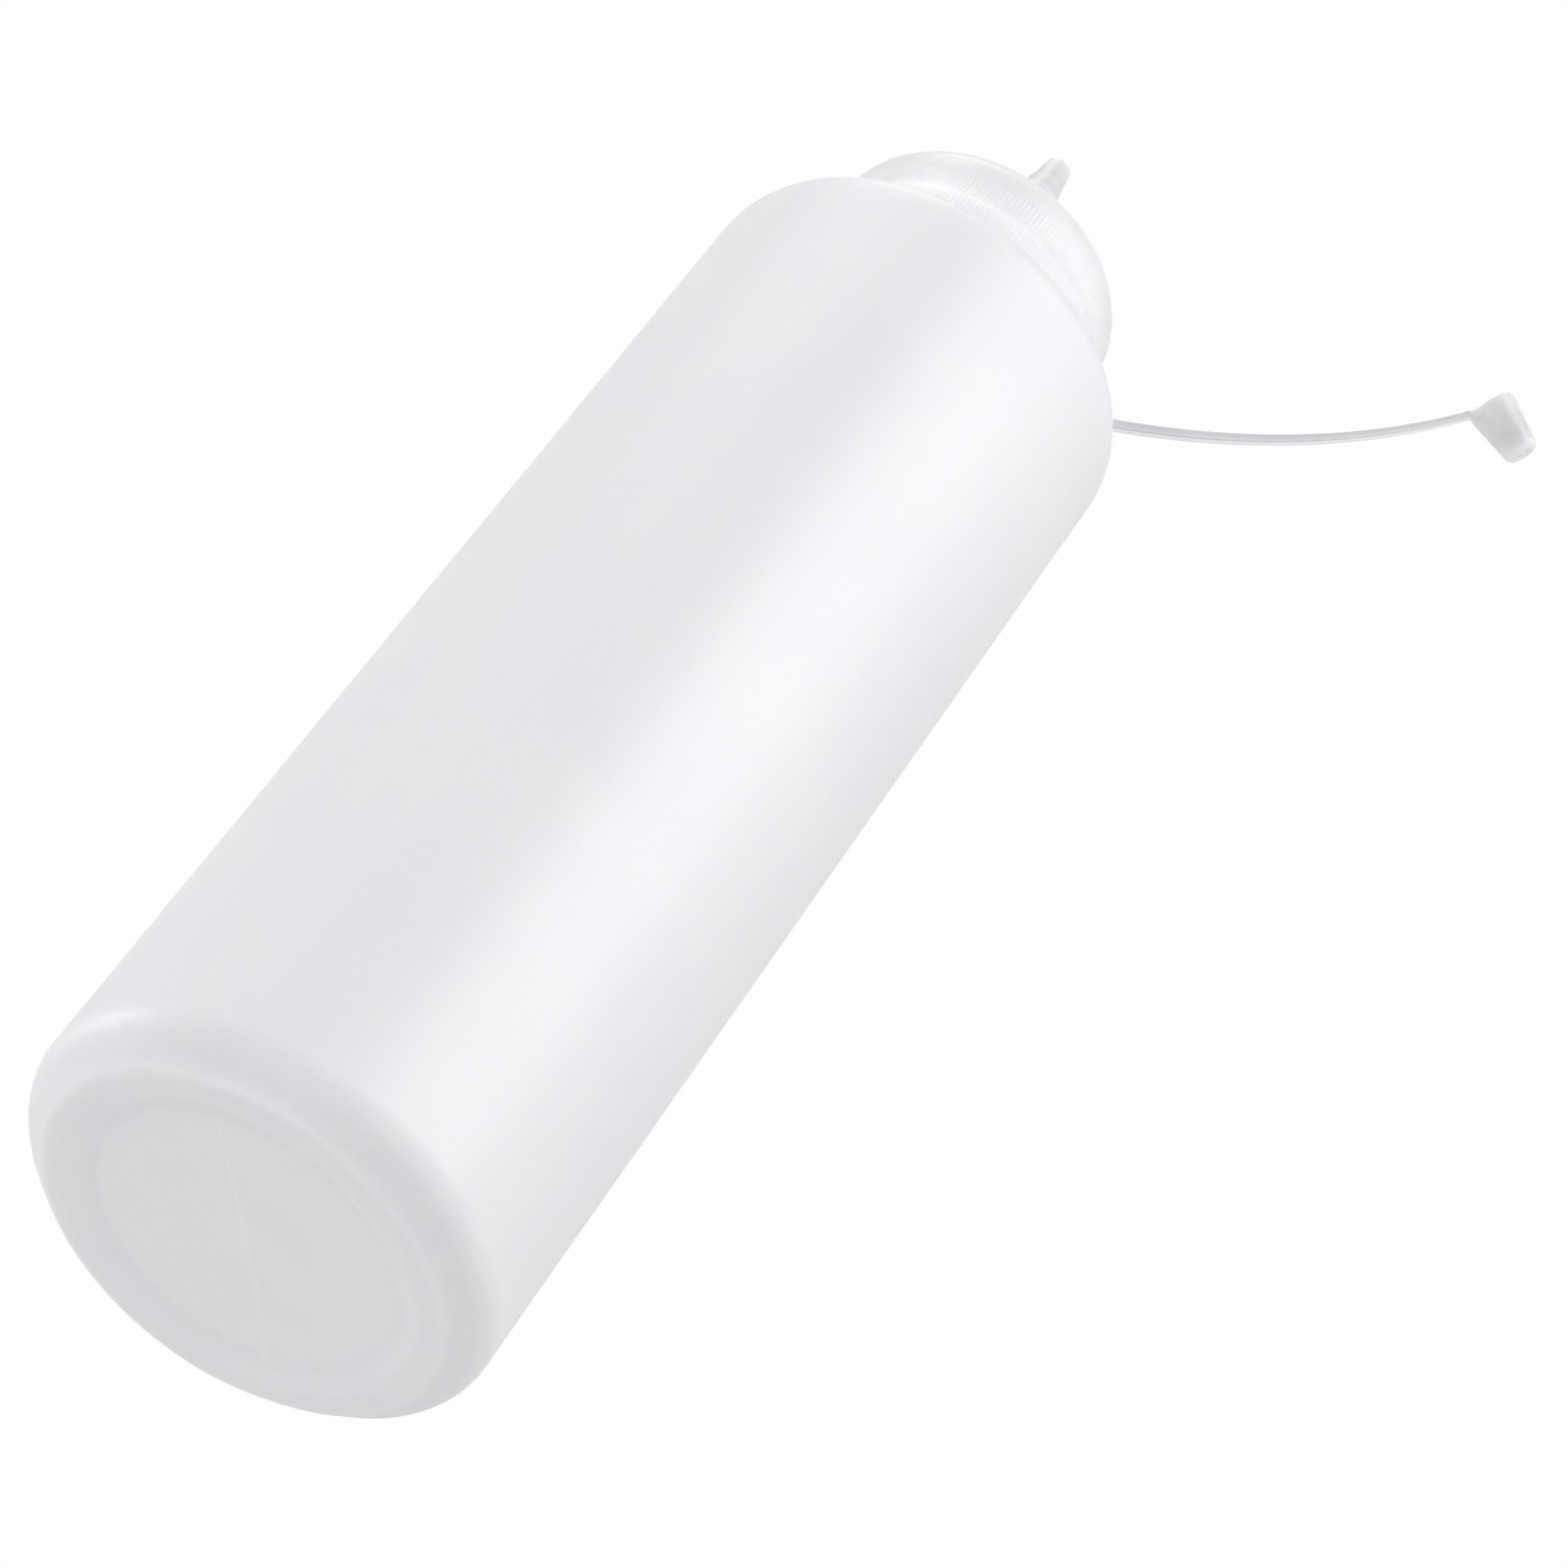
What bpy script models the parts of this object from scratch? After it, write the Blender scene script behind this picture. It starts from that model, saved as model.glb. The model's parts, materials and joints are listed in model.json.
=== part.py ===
"""A small squeeze bottle for sauce, with a screw cap and a tip cap tethered to it.

Metres, +Z up. The origin is the centre of the base on the plane that the bottle
stands on, and the tether leaves the screw cap towards +X.
"""

import bmesh
import bpy
from math import asin, atan2, cos, pi, radians, sin, tan
from mathutils import Matrix, Vector

# Body of the bottle
body_diameter = 0.0500
body_wall = 0.0012
wall_height = 0.1417
heel_radius = 0.0046
shoulder_radius = 0.0035
shoulder_slope = radians(16.5)

# Foot ring, and the hollow under the base
foot_ring_width = 0.0010
recess_depth = 0.0027
recess_run = 0.0026
panel_rise = 0.0005
seam_width = 0.0007
seam_height = 0.0003
seam_turn = radians(60)

# Neck and its thread
neck_diameter = 0.0280
neck_wall = 0.0014
neck_height = 0.0117
lip_round = 0.0003
thread_pitch = 0.0042
thread_depth = 0.0011
thread_root_width = 0.0019
thread_crest_width = 0.0010
thread_rise = 0.0024
thread_turns = 1.5

# Seal ring
seal_thickness = 0.0011
seal_bore_inset = 0.0010
seal_rim_inset = 0.00035

# Screw cap
thread_clearance = 0.00045
skirt_gap = 0.0006
skirt_rim = 0.0005
skirt_diameter = 0.0350
rib_depth = 0.00025
lower_tier_height = 0.0083
upper_tier_height = 0.0031
tier_step = 0.0003
ceiling_width = 0.0030
dome_wall = 0.0014
dome_height = 0.0084
dome_exponent = 1.55
rib_count = 192

# Nozzle on top of the dome
nozzle_height = 0.0160
nozzle_foot_radius = 0.0050
nozzle_waist_radius = 0.0034
nozzle_ring_radius = 0.0026
nozzle_seat_radius = 0.00235
nozzle_shelf_radius = 0.00205
nozzle_spout_radius = 0.0019
nozzle_end_radius = 0.00155
nozzle_tip_radius = 0.00125
nozzle_bore_radius = 0.0009
nozzle_inlet_radius = 0.0034

# Tether between the screw cap and the tip cap
tether_height = 0.00381
tether_rise = radians(32)
tether_curl_radius = 0.1110
tether_length = 0.0551
tether_width = 0.0008
tether_root_depth = 0.00135
tether_tip_depth = 0.0009
tether_edge_round = 0.00012
root_stub_length = 0.0025
tip_stub_length = 0.0022
link_count = 7

# Tip cap
tip_cap_length = 0.0069
tip_cap_wall = 0.00035
tip_cap_end_wall = 0.0006
tip_cap_fit = 0.0002
tip_web_width = 0.0022
gate_radius = 0.0007
gate_depth = 0.0002

# Gap left between separate pieces, and how far shapes that join run into each other
clearance = 0.0003
overrun = 0.0004
seam_merge_distance = 0.00001

# Heights of the nozzle's steps, as shares of its height
waist_share = 0.25
ring_share = 0.5625
seat_share = 0.6
shelf_share = 0.75
spout_share = 0.7625
end_share = 0.975

# Facets around the round pieces
body_facets = 64
cap_facets = 64
small_facets = 32
thread_facets = 32

# Radii and heights that the pieces share
body_radius = body_diameter / 2
neck_radius = neck_diameter / 2
bore_radius = neck_radius - neck_wall
skirt_radius = skirt_diameter / 2
upper_tier_radius = skirt_radius - tier_step
foot_ring_outer = body_radius - heel_radius
foot_ring_inner = foot_ring_outer - foot_ring_width
panel_radius = foot_ring_inner - recess_run
shoulder_top_radius = body_radius - shoulder_radius + shoulder_radius * sin(shoulder_slope)
shoulder_top = wall_height + shoulder_radius * cos(shoulder_slope)
neck_root = shoulder_top + (shoulder_top_radius - neck_radius) * tan(shoulder_slope)
lip_top = neck_root + neck_height
thread_start = neck_root + thread_rise
seal_bottom = lip_top + clearance
seal_top = seal_bottom + seal_thickness
ceiling = seal_top + clearance
skirt_inner_radius = neck_radius + thread_depth + thread_clearance
shell_radius = upper_tier_radius - rib_depth - overrun / 4
skirt_bottom = neck_root + skirt_gap
ledge = skirt_bottom + lower_tier_height
dome_foot = ledge + upper_tier_height
dome_top = dome_foot + dome_height
nozzle_top = dome_top + nozzle_height


def clear_scene():
    for old in list(bpy.data.objects):
        bpy.data.objects.remove(old, do_unlink=True)


def make_plastic(name, colour, roughness):
    plastic = bpy.data.materials.new(name)
    plastic.use_nodes = True
    shader = plastic.node_tree.nodes["Principled BSDF"]
    shader.inputs["Base Color"].default_value = (*colour, 1)
    shader.inputs["Roughness"].default_value = roughness
    shader.inputs["Metallic"].default_value = 0
    plastic.diffuse_color = (*colour, 1)
    return plastic


def add_object(name, mesh, plastic=None):
    thing = bpy.data.objects.new(name, mesh)
    bpy.context.scene.collection.objects.link(thing)
    if plastic:
        mesh.materials.append(plastic)
    return thing


def hide_tool(thing):
    thing.hide_render = True
    thing.display_type = "WIRE"
    return thing


def smooth_mesh(name, form):
    """Turn a bmesh into a smooth-shaded mesh whose faces point out."""
    bmesh.ops.recalc_face_normals(form, faces=form.faces)
    mesh = bpy.data.meshes.new(name)
    form.to_mesh(mesh)
    form.free()
    mesh.shade_smooth()
    mesh.set_sharp_from_angle(angle=radians(35))
    return mesh


def arc(centre_radius, centre_height, radius, start, end, steps):
    """Points of a round stretch of an outline, with both its ends."""
    points = []
    for step in range(steps + 1):
        angle = start + (end - start) * step / steps
        points.append((centre_radius + radius * cos(angle), centre_height + radius * sin(angle)))
    return points


def turned(name, outline, facets, plastic=None, ring=False):
    """A round piece: an outline of (radius, height) points turned about Z."""
    mesh = bpy.data.meshes.new(name)
    edges = [(index, index + 1) for index in range(len(outline) - 1)]
    if ring:
        edges.append((len(outline) - 1, 0))
    mesh.from_pydata([(radius, 0, height) for radius, height in outline], edges, [])
    piece = add_object(name, mesh, plastic)
    screw = piece.modifiers.new("Turn", "SCREW")
    screw.angle = 2 * pi
    screw.steps = facets
    screw.render_steps = facets
    screw.use_merge_vertices = True
    screw.merge_threshold = seam_merge_distance
    screw.use_smooth_shade = True
    return piece


def swept(name, sections):
    """A bar through four-cornered sections, closed at both ends."""
    form = bmesh.new()
    rows = [[form.verts.new(corner) for corner in section] for section in sections]
    for row, following in zip(rows, rows[1:]):
        for side in range(4):
            after = (side + 1) % 4
            form.faces.new((row[side], row[after], following[after], following[side]))
    form.faces.new(rows[0])
    form.faces.new(rows[-1])
    return hide_tool(add_object(name, smooth_mesh(name, form)))


def join_to(piece, tool, operation="UNION"):
    boolean = piece.modifiers.new(tool.name, "BOOLEAN")
    boolean.operation = operation
    boolean.solver = "EXACT"
    boolean.object = tool


def thread_ridge(name, wall_radius, crest_radius, start, root_width, crest_width):
    """A screw ridge that rises out of the wall and sinks back into it at its ends."""
    outwards = 1 if crest_radius > wall_radius else -1
    buried_radius = wall_radius - outwards * overrun
    steps = round(thread_facets * thread_turns)
    fade_steps = thread_facets / 4
    fade_floor_share = 0.2
    sections = []
    for step in range(steps + 1):
        angle = 2 * pi * step / thread_facets
        middle = start + thread_pitch * step / thread_facets
        fade = min(1, fade_floor_share + step / fade_steps, fade_floor_share + (steps - step) / fade_steps)
        top_radius = buried_radius + (crest_radius - buried_radius) * fade
        corners = (
            (buried_radius, middle - root_width / 2),
            (top_radius, middle - crest_width / 2),
            (top_radius, middle + crest_width / 2),
            (buried_radius, middle + root_width / 2),
        )
        sections.append([(radius * cos(angle), radius * sin(angle), height) for radius, height in corners])
    return swept(name, sections)


def bottle_outside():
    """From the lip down the neck, shoulder, wall and heel to the middle of the base."""
    points = arc(neck_radius - lip_round, lip_top - lip_round, lip_round, pi / 2, 0, 2)
    points.append((neck_radius, neck_root))
    arc_centre = body_radius - shoulder_radius
    points += arc(arc_centre, wall_height, shoulder_radius, pi / 2 - shoulder_slope, 0, 5)
    points += arc(foot_ring_outer, heel_radius, heel_radius, 0, -pi / 2, 6)
    points.append((foot_ring_inner, 0))
    points += recess_side(0)
    points += panel(0)
    return points


def bottle_inside():
    """From the middle of the floor up the wall, shoulder and neck to the lip."""
    points = panel(body_wall)[::-1]
    points += recess_side(body_wall)[::-1]
    inner_heel = heel_radius - body_wall
    points += arc(foot_ring_outer, heel_radius, inner_heel, -pi / 2, 0, 4)
    inner_corner = shoulder_radius - body_wall
    arc_centre = body_radius - shoulder_radius
    points += arc(arc_centre, wall_height, inner_corner, 0, pi / 2 - shoulder_slope, 4)
    corner_radius = arc_centre + inner_corner * sin(shoulder_slope)
    corner_height = wall_height + inner_corner * cos(shoulder_slope)
    points.append((bore_radius, corner_height + (corner_radius - bore_radius) * tan(shoulder_slope)))
    points += arc(bore_radius + lip_round, lip_top - lip_round, lip_round, pi, pi / 2, 2)
    return points


def recess_side(wall):
    """The slanting side of the hollow under the base, from the foot ring to the panel."""
    points = []
    for share in (0.12, 0.5, 0.88):
        bulge = share * share * (3 - 2 * share)
        points.append((foot_ring_inner - recess_run * share, wall + recess_depth * bulge))
    return points


def panel(wall):
    """The shallow dome in the middle of the base, from its edge to the axis."""
    points = []
    for share in (1, 0.66, 0.33, 0):
        points.append((panel_radius * share, wall + panel_height(panel_radius * share)))
    return points


def panel_height(radius):
    return recess_depth + panel_rise * (1 - (radius / panel_radius) ** 2)


def base_seam():
    """The low ridge that the mould's halves leave across the base panel."""
    along = Vector((cos(seam_turn), sin(seam_turn), 0))
    across = Vector((-sin(seam_turn), cos(seam_turn), 0))
    sections = []
    for share in (-0.96, -0.66, -0.33, 0, 0.33, 0.66, 0.96):
        height = panel_height(abs(share) * panel_radius)
        middle = along * (panel_radius * share)
        crest = Vector((0, 0, height - seam_height))
        root = Vector((0, 0, height + overrun))
        sections.append((
            middle + root - across * seam_width / 2,
            middle + crest - across * seam_width / 4,
            middle + crest + across * seam_width / 4,
            middle + root + across * seam_width / 2,
        ))
    return swept("seam_ridge", sections)


def seam_notch():
    """The cut where the mould's seam crosses the foot ring on both sides."""
    along = Vector((cos(seam_turn), sin(seam_turn), 0)) * body_radius
    across = Vector((-sin(seam_turn), cos(seam_turn), 0)) * seam_width / 2
    low = Vector((0, 0, -overrun))
    high = Vector((0, 0, seam_height))
    sections = [
        [end * along + corner for corner in (low - across, high - across, high + across, low + across)]
        for end in (-1, 1)
    ]
    return swept("seam_notch", sections)


def make_bottle(plastic):
    bottle = turned("bottle", bottle_inside() + bottle_outside(), body_facets, plastic)
    crest_radius = neck_radius + thread_depth
    ridge = thread_ridge(
        "neck_thread", neck_radius, crest_radius, thread_start, thread_root_width, thread_crest_width
    )
    join_to(bottle, ridge)
    join_to(bottle, base_seam())
    join_to(bottle, seam_notch(), "DIFFERENCE")
    return bottle


def make_seal_ring(plastic):
    inner = bore_radius - seal_bore_inset
    outer = skirt_inner_radius - seal_rim_inset
    outline = [(inner, seal_bottom), (inner, seal_top), (outer, seal_top), (outer, seal_bottom)]
    return turned("seal_ring", outline, cap_facets, plastic, ring=True)


def nozzle_outside():
    """The nozzle's steps from its tip down to the top of the dome."""
    steps = (
        (nozzle_tip_radius, 1),
        (nozzle_end_radius, end_share),
        (nozzle_spout_radius, spout_share),
        (nozzle_shelf_radius, shelf_share),
        (nozzle_seat_radius, seat_share),
        (nozzle_ring_radius, ring_share),
        (nozzle_waist_radius, waist_share),
    )
    return [(radius, dome_top + nozzle_height * share) for radius, share in steps]


def dome(foot_radius, foot_height, top_radius, top_height, steps):
    """A flattened dome from its top out to its foot, flatter than a quarter circle."""
    points = []
    for step in range(steps + 1):
        angle = pi / 2 * (1 - step / steps)
        reach = max(0, cos(angle)) ** (2 / dome_exponent)
        rise = sin(angle) ** (2 / dome_exponent)
        radius = top_radius + (foot_radius - top_radius) * reach
        points.append((radius, foot_height + (top_height - foot_height) * rise))
    return points


def screw_cap_outline():
    """Up the inside of the skirt, dome and bore, then down the outside."""
    ceiling_inner = skirt_inner_radius - ceiling_width
    inlet_height = dome_top - dome_wall
    inside = [(skirt_inner_radius, skirt_bottom), (skirt_inner_radius, ceiling)]
    inside += dome(ceiling_inner, ceiling, nozzle_inlet_radius, inlet_height, 4)[::-1]
    inside.append((nozzle_bore_radius, nozzle_top))
    outside = nozzle_outside()
    outside += dome(shell_radius, dome_foot - overrun / 2, nozzle_foot_radius, dome_top, 8)
    outside.append((shell_radius, skirt_bottom))
    return inside + outside


def ribbed_band():
    """A ring with two tiers of upright ribs round its outside, to go round the skirt."""
    inner_radius = (shell_radius + skirt_inner_radius) / 2
    outline = (
        (inner_radius, skirt_bottom + skirt_rim, 0),
        (skirt_radius, skirt_bottom + skirt_rim, rib_depth),
        (skirt_radius, ledge, rib_depth),
        (upper_tier_radius, ledge, rib_depth),
        (upper_tier_radius, dome_foot, rib_depth),
        (inner_radius, dome_foot, 0),
    )
    form = bmesh.new()
    rows = []
    for crest_radius, height, depth in outline:
        row = []
        for point in range(2 * rib_count):
            angle = pi * point / rib_count
            radius = crest_radius - depth * (point % 2)
            row.append(form.verts.new((radius * cos(angle), radius * sin(angle), height)))
        rows.append(row)
    for row, following in zip(rows, rows[1:] + rows[:1]):
        for point in range(2 * rib_count):
            after = (point + 1) % (2 * rib_count)
            form.faces.new((row[point], row[after], following[after], following[point]))
    return hide_tool(add_object("skirt_ribs", smooth_mesh("skirt_ribs", form)))


def tether_depth(length):
    """Depth of the tether at a length along it."""
    return tether_root_depth + (tether_tip_depth - tether_root_depth) * length / tether_length


def heading(length):
    """Direction of the tether at a length along it, as an angle up from +X."""
    return tether_rise + length / tether_curl_radius


def place_of(length):
    """Place on the tether's curl, at a length from where it leaves the skirt."""
    chord = 2 * tether_curl_radius * sin(length / tether_curl_radius / 2)
    angle = tether_rise + length / tether_curl_radius / 2
    root = Vector((skirt_radius, 0, skirt_bottom + tether_height))
    return root + Vector((cos(angle), 0, sin(angle))) * chord


def hinge_lengths():
    """Where the tether bends, as lengths along it."""
    link_length = (tether_length - root_stub_length - tip_stub_length) / link_count
    return [root_stub_length + link_length * index for index in range(link_count + 1)]


def hinge_frame(name, place, angle):
    """An empty on a bend's axis, with its X along the tether."""
    frame = bpy.data.objects.new(name, None)
    bpy.context.scene.collection.objects.link(frame)
    frame.matrix_world = Matrix.Translation(place) @ Matrix.Rotation(-angle, 4, "Y")
    return frame


def nose(depth):
    """Half-round start of a link, around its own bend's axis."""
    return arc(0, 0, depth / 2, pi / 2, 3 * pi / 2, 6)


def socket(distance, depth):
    """Hollow end of a link, around the nose of the next one."""
    reach = depth / 2 + clearance
    spread = asin(depth / 2 / reach)
    return arc(distance, 0, reach, pi + spread, pi - spread, 4)


def tether_bar(name, outline, frame, plastic=None):
    """A flat bar with the outline's X and Z, as wide as the tether along Y."""
    form = bmesh.new()
    corners = [form.verts.new((x, -tether_width / 2, z)) for x, z in outline]
    face = form.faces.new(corners)
    pushed = bmesh.ops.extrude_face_region(form, geom=[face])
    moved = [item for item in pushed["geom"] if isinstance(item, bmesh.types.BMVert)]
    bmesh.ops.translate(form, verts=moved, vec=(0, tether_width, 0))
    rims = [edge for edge in form.edges if edge.verts[0].co.y == edge.verts[1].co.y]
    bmesh.ops.bevel(form, geom=rims, offset=tether_edge_round, segments=1, affect="EDGES")
    bar = add_object(name, smooth_mesh(name, form), plastic)
    bar.parent = frame
    return bar


def root_stub():
    """The start of the tether, moulded on the skirt, up to the first bend."""
    frame = hinge_frame("tether_root", place_of(0), heading(root_stub_length / 2))
    half = tether_depth(0) / 2
    buried = -2 * overrun
    outline = [(buried, half), (buried, -half)]
    outline += socket(root_stub_length, tether_depth(root_stub_length))
    return hide_tool(tether_bar("root_stub", outline, frame))


def make_screw_cap(plastic):
    cap = turned("screw_cap", screw_cap_outline(), cap_facets, plastic, ring=True)
    ridge = thread_ridge(
        "cap_thread", skirt_inner_radius, neck_radius + thread_clearance,
        thread_start + thread_pitch / 2, thread_root_width, thread_crest_width,
    )
    for tool in (ridge, root_stub(), ribbed_band()):
        join_to(cap, tool)
    return cap


def make_tether_links(plastic):
    lengths = hinge_lengths()
    links = []
    for index in range(link_count):
        start, end = lengths[index], lengths[index + 1]
        reach = place_of(end) - place_of(start)
        frame = hinge_frame(f"tether_bend_{index + 1}", place_of(start), atan2(reach.z, reach.x))
        outline = nose(tether_depth(start)) + socket(reach.length, tether_depth(end))
        links.append(tether_bar(f"tether_link_{index + 1}", outline, frame, plastic))
    return links


def tip_cap_outline():
    """The tip cap from the middle of its hollow, over the rim, to its outer end."""
    mouth = nozzle_seat_radius + tip_cap_fit
    end = nozzle_end_radius + tip_cap_fit
    floor = tip_cap_end_wall - tip_cap_length
    inside = [(0, floor), (end, floor), (mouth, 0)]
    outer_end = end + tip_cap_wall
    outside = [
        (mouth + tip_cap_wall, 0),
        (outer_end, -tip_cap_length + tip_cap_wall),
        (outer_end - tip_cap_wall, -tip_cap_length),
        (gate_radius, -tip_cap_length),
        (gate_radius, -tip_cap_length + gate_depth),
        (0, -tip_cap_length + gate_depth),
    ]
    return inside + outside


def tip_web(frame, mouth_distance):
    """The end of the tether, widening where it meets the tip cap's rim."""
    half_depth = tether_depth(tether_length) / 2
    wall_radius = nozzle_seat_radius + tip_cap_fit + tip_cap_wall / 2
    near = mouth_distance - wall_radius
    widths = (
        (tip_stub_length / 3, tether_width),
        (near - tip_stub_length / 4, tether_width),
        (near, tip_web_width),
    )
    sections = []
    for distance, width in widths:
        half = width / 2
        top = half_depth - overrun / 8
        sections.append((
            (distance, -half, -top), (distance, half, -top), (distance, half, top), (distance, -half, top)
        ))
    web = swept("tip_web", sections)
    web.parent = frame
    return web


def make_tip_cap(plastic):
    start = hinge_lengths()[-1]
    frame = hinge_frame(f"tether_bend_{link_count + 1}", place_of(start), heading(tether_length))
    mouth_radius = nozzle_seat_radius + tip_cap_fit + tip_cap_wall
    mouth_distance = tip_stub_length + mouth_radius
    cap = turned("tip_cap", tip_cap_outline(), small_facets, plastic)
    cap.parent = frame
    cap.location = (mouth_distance, 0, tether_depth(tether_length) / 2)
    end = tip_stub_length + tip_cap_wall / 2
    half = tether_depth(tether_length) / 2 - overrun / 8
    stub = tether_bar("tip_stub", nose(tether_depth(start)) + [(end, -half), (end, half)], frame)
    join_to(cap, hide_tool(stub))
    join_to(cap, tip_web(frame, mouth_distance))
    return cap


def main():
    clear_scene()
    body_plastic = make_plastic("body_plastic", (0.86, 0.86, 0.88), 0.35)
    cap_plastic = make_plastic("cap_plastic", (0.88, 0.88, 0.90), 0.40)
    seal_plastic = make_plastic("seal_plastic", (0.80, 0.80, 0.78), 0.60)
    make_bottle(body_plastic)
    make_seal_ring(seal_plastic)
    make_screw_cap(cap_plastic)
    make_tether_links(cap_plastic)
    make_tip_cap(cap_plastic)


main()
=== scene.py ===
# %% [markdown]
# A squeeze bottle for sauce, dressed for its picture. The packed model brings the true sizes, the places
# and the moving bodies. This lesson lays a finer skin over each piece and gives it the finish of soft white
# plastic. The bottle and the two caps are told which body they move with, so that they follow every pose.

# %% Load the model
import json
from functools import cached_property
from math import asin, atan2, cos, degrees, exp, pi, radians, sin, sqrt, tan

import bmesh
import bpy
from mathutils import Matrix, Vector, noise


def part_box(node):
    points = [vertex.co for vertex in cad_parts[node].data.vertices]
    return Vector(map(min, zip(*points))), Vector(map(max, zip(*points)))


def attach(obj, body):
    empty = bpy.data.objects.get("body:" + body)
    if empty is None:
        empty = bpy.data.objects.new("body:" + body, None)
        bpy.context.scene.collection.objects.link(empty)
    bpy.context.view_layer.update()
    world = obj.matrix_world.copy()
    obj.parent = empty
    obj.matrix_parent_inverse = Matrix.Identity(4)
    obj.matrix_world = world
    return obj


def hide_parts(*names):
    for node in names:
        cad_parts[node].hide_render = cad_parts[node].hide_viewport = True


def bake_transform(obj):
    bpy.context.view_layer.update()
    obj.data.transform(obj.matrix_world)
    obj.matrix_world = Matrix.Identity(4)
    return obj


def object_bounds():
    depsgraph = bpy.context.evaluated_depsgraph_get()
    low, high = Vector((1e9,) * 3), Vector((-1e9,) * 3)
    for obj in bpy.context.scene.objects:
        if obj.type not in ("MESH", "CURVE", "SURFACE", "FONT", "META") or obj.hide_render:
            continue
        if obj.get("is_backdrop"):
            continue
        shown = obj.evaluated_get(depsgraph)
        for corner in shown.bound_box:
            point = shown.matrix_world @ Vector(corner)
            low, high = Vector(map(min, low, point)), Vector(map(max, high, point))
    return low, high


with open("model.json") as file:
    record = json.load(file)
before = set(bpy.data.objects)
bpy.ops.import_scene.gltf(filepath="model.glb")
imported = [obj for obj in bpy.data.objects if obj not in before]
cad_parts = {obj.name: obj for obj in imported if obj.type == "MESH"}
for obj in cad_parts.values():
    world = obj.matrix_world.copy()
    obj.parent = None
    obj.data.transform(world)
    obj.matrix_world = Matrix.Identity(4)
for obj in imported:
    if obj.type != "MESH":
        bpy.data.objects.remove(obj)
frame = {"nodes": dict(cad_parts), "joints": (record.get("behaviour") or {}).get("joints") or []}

cad_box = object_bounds()
print("nodes:", ", ".join(sorted(frame["nodes"])))
print("box in mm:", [[round(value * 1000, 1) for value in corner] for corner in cad_box])

# %% [markdown]
# Sizes come from the model wherever it can tell them: a node's box gives the body's radius and the height
# of the lip, the skirt and the nozzle. Only what a box can't tell, such as walls and rounded corners, is
# written here, in millimetres, as one would note it down with calipers.

# %% Sizes of the bottle
mm = 0.001
body_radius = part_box("bottle")[1].y
lip_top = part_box("bottle")[1].z
body_wall = 1.2 * mm
wall_height = 141.7 * mm
bevel_height = 3.6 * mm
bevel_width = 3.6 * mm
bevel_foot = 0.25 * mm
heel_round = 1.6 * mm
inner_heel_exponent = 1.45
shoulder_radius = 3.5 * mm
shoulder_slope = radians(16.5)
foot_ring_inset = 4.7 * mm
foot_ring_width = 0.9 * mm
recess_depth = 1.1 * mm
recess_run = 4.0 * mm
panel_rise = 0.5 * mm
neck_radius = 14.0 * mm
bore_radius = 12.6 * mm
lip_round = 0.45 * mm
neck_round = 1.2 * mm
seam_turn = radians(60)

heel_height = bevel_height + heel_round
foot_ring_outer = body_radius - foot_ring_inset
foot_ring_inner = foot_ring_outer - foot_ring_width
panel_radius = foot_ring_inner - recess_run
shoulder_centre = body_radius - shoulder_radius
neck_root = (
    wall_height + shoulder_radius * cos(shoulder_slope)
    + (shoulder_centre + shoulder_radius * sin(shoulder_slope) - neck_radius) * tan(shoulder_slope)
)
print(f"body {body_radius / mm * 2:.1f} across, wall up to {wall_height / mm:.1f}")
print(f"neck root at {neck_root / mm:.1f}, lip at {lip_top / mm:.1f}")

# %% Sizes of the screw cap and its nozzle
cap_low, cap_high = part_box("screw_cap")
skirt_radius = cap_high.y
skirt_bottom = cap_low.z
nozzle_top = cap_high.z
skirt_inner_radius = 15.55 * mm
tier_step = 0.3 * mm
lower_tier_height = 5.6 * mm
skirt_height = 11.4 * mm
plain_band = 1.5 * mm
dome_height = 8.4 * mm
dome_top_radius = 5 * mm
dome_exponent = 1.55
seal_height = 1.7 * mm
rib_depth = 0.07 * mm
rib_fade = 0.6 * mm
rib_count = 192

ledge = skirt_bottom + lower_tier_height
dome_foot = skirt_bottom + skirt_height
dome_top = dome_foot + dome_height
rib_top = dome_foot - plain_band
nozzle_height = nozzle_top - dome_top
ceiling = lip_top + seal_height
upper_tier_radius = skirt_radius - tier_step
print(f"cap {skirt_radius / mm * 2:.1f} across, dome from {dome_foot / mm:.1f} to {dome_top / mm:.1f}")

# %% [markdown]
# The photograph was taken from below, with the bottle leaning across the picture: the camera looks up at
# the base along the body, and it is rolled. Giving the camera a place, an elevation and a roll keeps those
# three facts apart, which a bare rotation matrix would hide. The long lens keeps the body's sides nearly
# parallel.

# %% Camera
camera_place = Vector((15.76, -417.28, -274.58)) * mm
camera_elevation = radians(-40.706)
camera_roll = radians(35.857)
focal_pixels = 5500
picture_pixels = 1600
sensor_width = 36

level_up = Vector((0, sin(camera_elevation), cos(camera_elevation)))
towards_camera = Vector((0, -cos(camera_elevation), sin(camera_elevation)))
level_right = Vector((1, 0, 0))
camera_right = level_right * cos(camera_roll) + level_up * sin(camera_roll)
camera_up = level_up * cos(camera_roll) - level_right * sin(camera_roll)
turn = Matrix((camera_right, camera_up, towards_camera)).transposed().to_4x4()
camera_data = bpy.data.cameras.new("camera")
camera_data.sensor_width = sensor_width
camera_data.lens = sensor_width * focal_pixels / picture_pixels
camera = bpy.data.objects.new("camera", camera_data)
bpy.context.scene.collection.objects.link(camera)
camera.matrix_world = Matrix.Translation(camera_place) @ turn
bpy.context.scene.camera = camera
print(f"lens {camera_data.lens:.1f} mm, {camera_place.length:.3f} m from the base")

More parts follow.
